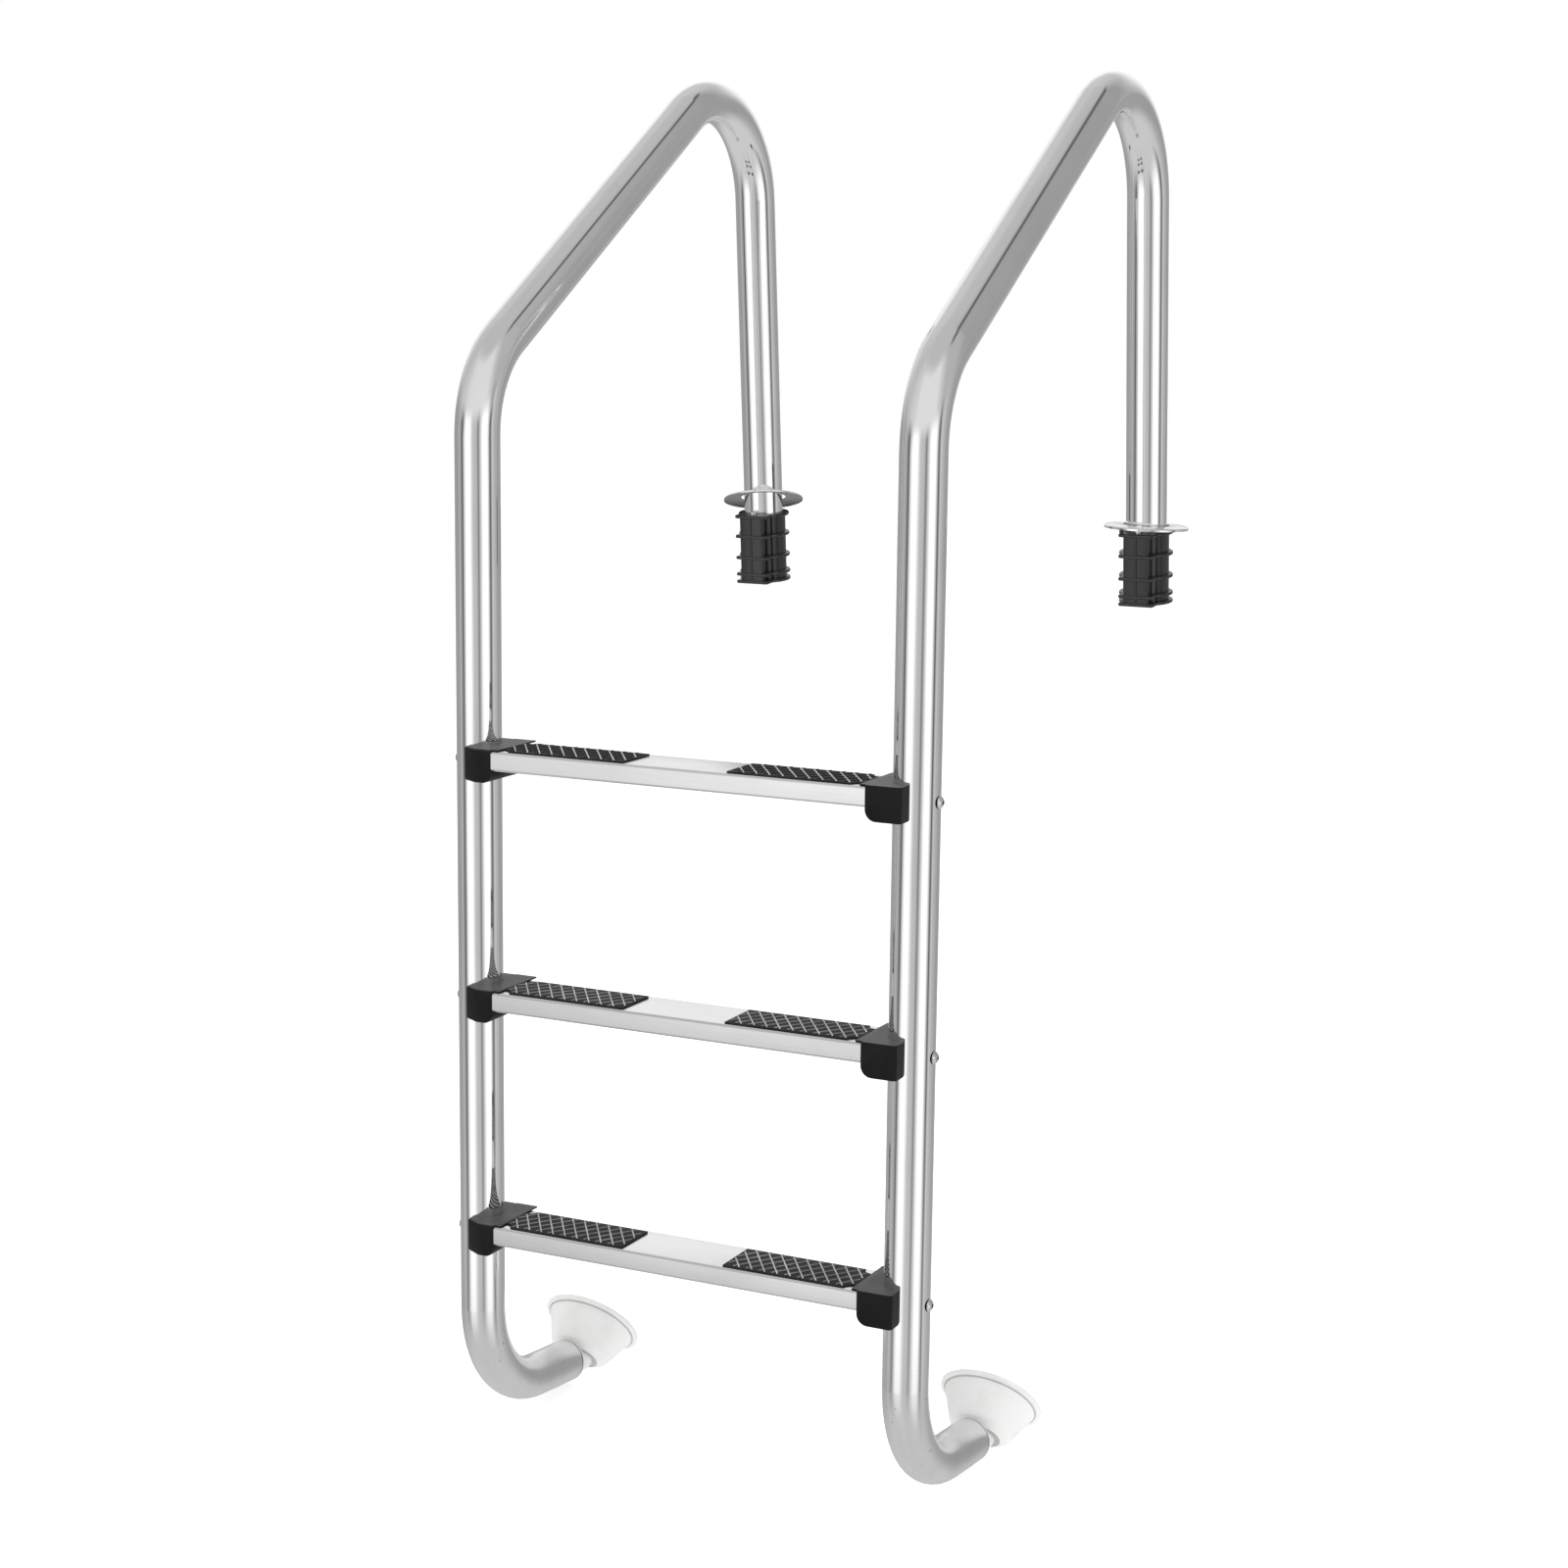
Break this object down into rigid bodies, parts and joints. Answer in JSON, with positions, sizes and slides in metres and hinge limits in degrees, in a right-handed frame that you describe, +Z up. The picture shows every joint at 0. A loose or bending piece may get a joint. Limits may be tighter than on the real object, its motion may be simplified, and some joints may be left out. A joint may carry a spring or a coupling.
{
  "type": "pool ladder",
  "caption": "In-ground pool ladder with bent tube rails, padded treads, deck anchors with cover rings and swivelling wall bumpers.",
  "frame": {"origin": "halfway between the centre lines of the two back legs, at deck level (the flush tops of the anchors)", "axes": "+X across the treads, +Y from the pool towards the deck, +Z up, parallel to the front legs"},
  "size_m": [0.623, 0.7681, 1.5043],
  "materials": {
    "polished_steel": "mirror-polished stainless tube and pressed stainless sheet",
    "tread_steel": "polished folded stainless sheet",
    "fastener_steel": "plain stainless fasteners",
    "wedge_metal": "cast metal with a dull plated surface",
    "bracket_plastic": "black moulded plastic with a fine grain",
    "anchor_plastic": "black moulded plastic, slightly satin",
    "pad_rubber": "black rubber with raised diamond ribs",
    "white_rubber": "white rubber, matt",
    "white_plastic": "white moulded plastic"
  },
  "bodies": {
    "anchors": {"left_anchor": "anchor_plastic", "right_anchor": "anchor_plastic"},
    "ladder": {"left_rail": "polished_steel", "left_tread_screws": "fastener_steel", "left_tread_nuts": "fastener_steel", "left_end_plug": "white_plastic", "right_rail": "polished_steel", "right_tread_screws": "fastener_steel", "right_tread_nuts": "fastener_steel", "right_end_plug": "white_plastic", "top_tread": "tread_steel", "top_left_pad": "pad_rubber", "top_left_bracket": "bracket_plastic", "top_right_pad": "pad_rubber", "top_right_bracket": "bracket_plastic", "middle_tread": "tread_steel", "middle_left_pad": "pad_rubber", "middle_left_bracket": "bracket_plastic", "middle_right_pad": "pad_rubber", "middle_right_bracket": "bracket_plastic", "bottom_tread": "tread_steel", "bottom_left_pad": "pad_rubber", "bottom_left_bracket": "bracket_plastic", "bottom_right_pad": "pad_rubber", "bottom_right_bracket": "bracket_plastic"},
    "left_wedge": {"left_wedge": "wedge_metal"},
    "left_wedge_screw": {"left_wedge_screw": "fastener_steel"},
    "left_escutcheon": {"left_escutcheon": "polished_steel"},
    "left_ball_stud": {"left_ball_stud": "white_plastic"},
    "left_bumper_cup": {"left_bumper_cup": "white_rubber"},
    "right_wedge": {"right_wedge": "wedge_metal"},
    "right_wedge_screw": {"right_wedge_screw": "fastener_steel"},
    "right_escutcheon": {"right_escutcheon": "polished_steel"},
    "right_ball_stud": {"right_ball_stud": "white_plastic"},
    "right_bumper_cup": {"right_bumper_cup": "white_rubber"}
  },
  "joints": [
    {"name": "lift_out", "type": "slide", "parent": "anchors", "child": "ladder", "axis": [0, -0.0854, 0.9963], "range_m": [0, 0.085]},
    {"name": "left_wedge_screw_turn", "type": "hinge", "parent": "anchors", "child": "left_wedge_screw", "pos_m": [-0.254, -0.02909, -0.00249], "axis": [0, -0.0854, 0.9963], "range_deg": [0, 2160]},
    {"name": "left_wedge_slide", "type": "slide", "parent": "anchors", "child": "left_wedge", "axis": [0, -0.0854, 0.9963], "range_m": [-0.006, 0]},
    {"name": "left_escutcheon_slide", "type": "slide", "parent": "anchors", "child": "left_escutcheon", "axis": [0, -0.0854, 0.9963], "range_m": [0, 0.34]},
    {"name": "left_ball_stud_spin", "type": "hinge", "parent": "ladder", "child": "left_ball_stud", "pos_m": [-0.254, -0.47109, -0.9618], "axis": [0, 0.9945, -0.1045], "continuous": true},
    {"name": "left_bumper_tilt", "type": "hinge", "parent": "left_ball_stud", "child": "left_bumper_cup", "pos_m": [-0.254, -0.47109, -0.9618], "axis": [1, 0, 0], "range_deg": [-98, 6]},
    {"name": "right_wedge_screw_turn", "type": "hinge", "parent": "anchors", "child": "right_wedge_screw", "pos_m": [0.254, -0.02909, -0.00249], "axis": [0, -0.0854, 0.9963], "range_deg": [0, 2160]},
    {"name": "right_wedge_slide", "type": "slide", "parent": "anchors", "child": "right_wedge", "axis": [0, -0.0854, 0.9963], "range_m": [-0.006, 0]},
    {"name": "right_escutcheon_slide", "type": "slide", "parent": "anchors", "child": "right_escutcheon", "axis": [0, -0.0854, 0.9963], "range_m": [0, 0.34]},
    {"name": "right_ball_stud_spin", "type": "hinge", "parent": "ladder", "child": "right_ball_stud", "pos_m": [0.254, -0.47109, -0.9618], "axis": [0, 0.9945, -0.1045], "continuous": true},
    {"name": "right_bumper_tilt", "type": "hinge", "parent": "right_ball_stud", "child": "right_bumper_cup", "pos_m": [0.254, -0.47109, -0.9618], "axis": [1, 0, 0], "range_deg": [-98, 6]}
  ],
  "couplings": [
    {"joint": "left_wedge_screw_turn", "follows": "left_wedge_slide", "rad_per_m": -6283.2},
    {"joint": "right_wedge_screw_turn", "follows": "right_wedge_slide", "rad_per_m": -6283.2}
  ]
}
